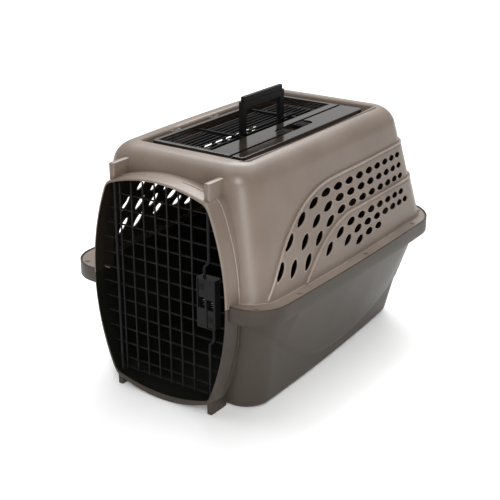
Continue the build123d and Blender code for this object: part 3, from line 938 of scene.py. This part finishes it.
# ---------------------------------------------------------------- raised beads, lightened in colour as painted highlight


def wall_x(y, z):
    """Half width of the upper wall at a place on it, corners included."""
    line = sorted((p[1], p[0]) for p in plan(upper_section(z)) if p[0] > 100.0)
    for (y0, x0), (y1, x1) in zip(line, line[1:]):
        if y0 <= y <= y1 and y1 > y0:
            return x0 + (x1 - x0) * (y - y0) / (y1 - y0)
    return line[-1][1]


def ridge_line(height, start, side):
    """Points along a ridge of the vent panel, from the flange round the rear corner."""
    line = []
    for k in range(150):
        y = start + (ridge_rear - start) * k / 149
        z = height(y)
        if z > flange_top + 2.0:
            base = panel_step(y, z + 4.0)
            line.append((side * (wall_x(y, z) + base + bead_off), y, z))
    z = height(ridge_rear)
    base = panel_step(ridge_rear, z + 4.0) + bead_off
    turned = pushed(plan(upper_section(z)), lambda x, y: base)
    corner = [(x, y) for x, y in turned if x > 0.0 and y > ridge_rear + 2.0]
    line += [(side * x, y, z) for x, y in sorted(corner, key=lambda p: -p[0])]
    return line


def collar_line(above, side):
    """Points along the foot of the collar where it meets the front wall."""
    ring = [p for p in collar_ring(-279.0, flare=5.6) if side * p[0] > 0.0]
    ring = [p for p in ring if (p[2] > seam + 4.0) == above]
    if not above:
        ring = [p for p in ring if 30.0 < p[2] < seam - 26.0]
    return sorted(ring, key=lambda p: p[2] * (1.0 if above else -1.0))[:46]


ridges = []
for side in (-1.0, 1.0):
    ridges.append(ridge_line(first_arc, -262.0, side))
    ridges.append(ridge_line(second_arc, -155.0, side))
leaned(wires("vent_panel_beads", ridges, 2.2, taupe_painted_highlight, "carrier", sides=10).data)
foot_line = pushed(plan(upper_section(flange_top)), lambda x, y: panel_step(y, wall_start) + 0.6)
foot_beads = []
for side in (-1.0, 1.0):
    bead = [(x, y, flange_top + 0.6) for x, y in foot_line if side * x > 118.0 and y < 200.0]
    foot_beads.append(sorted(bead, key=lambda p: p[1]))
wires("wall_foot_beads", foot_beads, 1.0, taupe_painted_highlight, "carrier", sides=8)
for name, above, radius, finish in (
    ("collar_beads_upper", True, 1.3, taupe_painted_highlight),
    ("collar_beads_lower", False, 1.1, umber),
):
    lines = [collar_line(above, -1.0), collar_line(above, 1.0)]
    wires(name, lines, radius, finish, "carrier", sides=10)

# ---------------------------------------------------------------- lugs, fins, feet and hinge ears

rod_lug_x, rear_lug_x, foot_x = 95.0, 132.0, 98.0
hinge_ys = (-127.0, -17.0, 93.0)
upper_extras, lower_extras = [], []
for side in (-1.0, 1.0):
    x = side * rod_lug_x
    upper_extras.append(slab((x - 5.5, -297.0, 366.0), (x + 5.5, -256.0, 396.0), 3.0, 2.0))
    lower_extras.append(slab((x - 5.0, -299.0, 0.0), (x + 5.0, -257.0, 26.0), 2.0, 1.0))
    x = side * rear_lug_x
    upper_extras.append(slab((x - 12.5, 283.0, 202.0), (x + 12.5, 297.0, 221.0), 3.0, 1.5))
    x = side * foot_x
    lower_extras.append(slab((x - 17.0, 183.0, 0.0), (x + 17.0, 227.0, 3.6), 6.0, 1.0))
for y in hinge_ys:
    for face_y in (y - 10.5, y + 7.5):
        upper_extras.append(slab((-100.8, face_y, 397.0), (-93.5, face_y + 3.0, 412.1), 1.0, 1.0))
mesh_object("upper_shell_lugs", *joined(upper_extras), taupe, "carrier")
mesh_object("lower_shell_feet", *joined(lower_extras), umber, "carrier")

# ---------------------------------------------------------------- latch springs


def spring_coil(name, node):
    """Coil behind a slide of the front door's latch, an even helix in the spring part's box."""
    low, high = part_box(node)
    middle_x, middle_y = (low[0] + high[0]) / 2 / MM, (low[1] + high[1]) / 2 / MM
    length = (high[2] - low[2]) / MM
    reach = (high[0] - low[0]) / 2 / MM - spring_radius
    foot, rise = low[2] / MM + spring_radius, length - 2 * spring_radius
    line = []
    for k in range(spring_points + 1):
        a = 2.0 * math.pi * spring_turns * k / spring_points
        at = (middle_x + reach * math.cos(a), middle_y + reach * math.sin(a))
        line.append((*at, foot + rise * k / spring_points))
    coil = wires(name, [line], spring_radius, spring_steel, "front_door", (node,), sides=8)
    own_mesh(coil)


spring_coil("spring_coil_upper", "latch_spring_upper")
spring_coil("spring_coil_lower", "latch_spring_lower")

# ---------------------------------------------------------------- finishes of the remaining parts

node_finishes = (
    (taupe, "rim_pegs"),
    (gloss_brown, "lid_frame"),
    (black_plastic, "latch_housing latch_slide_upper latch_slide_lower"),
    (black_plastic, "handle lid_tab_front lid_tab_rear"),
    (black_wire, "door_hinge_rod door_uprights door_cross_wires latch_rod_upper latch_rod_lower"),
    (black_wire, "lid_hinge_pins lid_long_wires lid_cross_wires"),
    (black_wire, "handle_rod lid_rod_front lid_rod_rear"),
)
for finish, names in node_finishes:
    for node in names.split():
        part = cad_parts[node]
        if not part.material_slots:
            part.data.materials.append(finish)
        for place in part.material_slots:
            place.material = finish

# ---------------------------------------------------------------- floor, light and camera

floor_mesh = bpy.data.meshes.new("floor")
reach = 9
floor_corners = [(-reach, -reach, 0), (reach, -reach, 0), (reach, reach, 0), (-reach, reach, 0)]
floor_mesh.from_pydata(floor_corners, [], [(0, 1, 2, 3)])
floor = bpy.data.objects.new("floor", floor_mesh)
bpy.context.scene.collection.objects.link(floor)
pale = bpy.data.materials.new("pale studio floor")
pale.use_nodes = True
pale_shader = pale.node_tree.nodes["Principled BSDF"]
pale_shader.inputs["Base Color"].default_value = (0.93, 0.93, 0.93, 1.0)
pale_shader.inputs["Roughness"].default_value = 0.8
pale_shader.inputs["Emission Color"].default_value = (1.0, 1.0, 1.0, 1.0)
pale_shader.inputs["Emission Strength"].default_value = 0.2
floor_mesh.materials.append(pale)


def soft_light(name, place, aim, width, depth, power):
    """Rectangular soft light aimed at a point."""
    data = bpy.data.lights.new(name, "AREA")
    data.shape = "RECTANGLE"
    data.size, data.size_y = width, depth
    data.energy = power
    lamp = bpy.data.objects.new(name, data)
    lamp.location = place
    lamp.rotation_euler = (Vector(aim) - Vector(place)).to_track_quat("-Z", "Y").to_euler()
    bpy.context.scene.collection.objects.link(lamp)


soft_light("overhead", (-0.3, 0.6, 2.8), (0.0, 0.1, 0.0), 3.6, 3.0, 68.0)
soft_light("key", (1.35, -2.0, 2.0), (0.12, -0.25, 0.25), 0.6, 1.3, 36.0)
soft_light("corner", (1.75, -1.9, 0.42), (0.15, -0.26, 0.28), 0.85, 0.7, 14.0)
soft_light("backdrop", (-2.6, 4.6, 5.2), (-2.6, 4.6, 0.0), 4.0, 4.0, 330.0)

# the studio is dimmer all round than towards the pale backdrop behind the carrier
dim, bright, backdrop_way = 0.14, 0.59, (-0.52, 0.80, 0.30)
world = bpy.data.worlds.new("studio")
world.use_nodes = True
nodes, links = world.node_tree.nodes, world.node_tree.links
sky = nodes["Background"]
sky.inputs["Color"].default_value = (1.0, 1.0, 1.0, 1.0)
look = nodes.new("ShaderNodeTexCoord")
toward = nodes.new("ShaderNodeVectorMath")
toward.operation = "DOT_PRODUCT"
toward.inputs[1].default_value = backdrop_way
strength = nodes.new("ShaderNodeMapRange")
strength.inputs["From Min"].default_value = 0.0
strength.inputs["From Max"].default_value = 0.9
strength.inputs["To Min"].default_value = dim
strength.inputs["To Max"].default_value = bright
links.new(look.outputs["Generated"], toward.inputs[0])
links.new(toward.outputs["Value"], strength.inputs["Value"])
links.new(strength.outputs["Result"], sky.inputs["Strength"])
bpy.context.scene.world = world
bpy.context.scene.view_settings.view_transform = "Standard"

camera_data = bpy.data.cameras.new("camera")
camera_data.lens = 81.05
camera_data.sensor_width = 36.0
camera = bpy.data.objects.new("camera", camera_data)
right, up, ahead = (
    Vector((0.82107, 0.57083, -0.00210)),
    Vector((-0.20795, 0.30253, 0.93018)),
    Vector((-0.53161, 0.76330, -0.36710)),
)
turn = Matrix((right, up, -ahead)).transposed().to_4x4()
camera.matrix_world = Matrix.Translation((1.07084, -1.58282, 0.92543)) @ turn
bpy.context.scene.collection.objects.link(camera)
bpy.context.scene.camera = camera
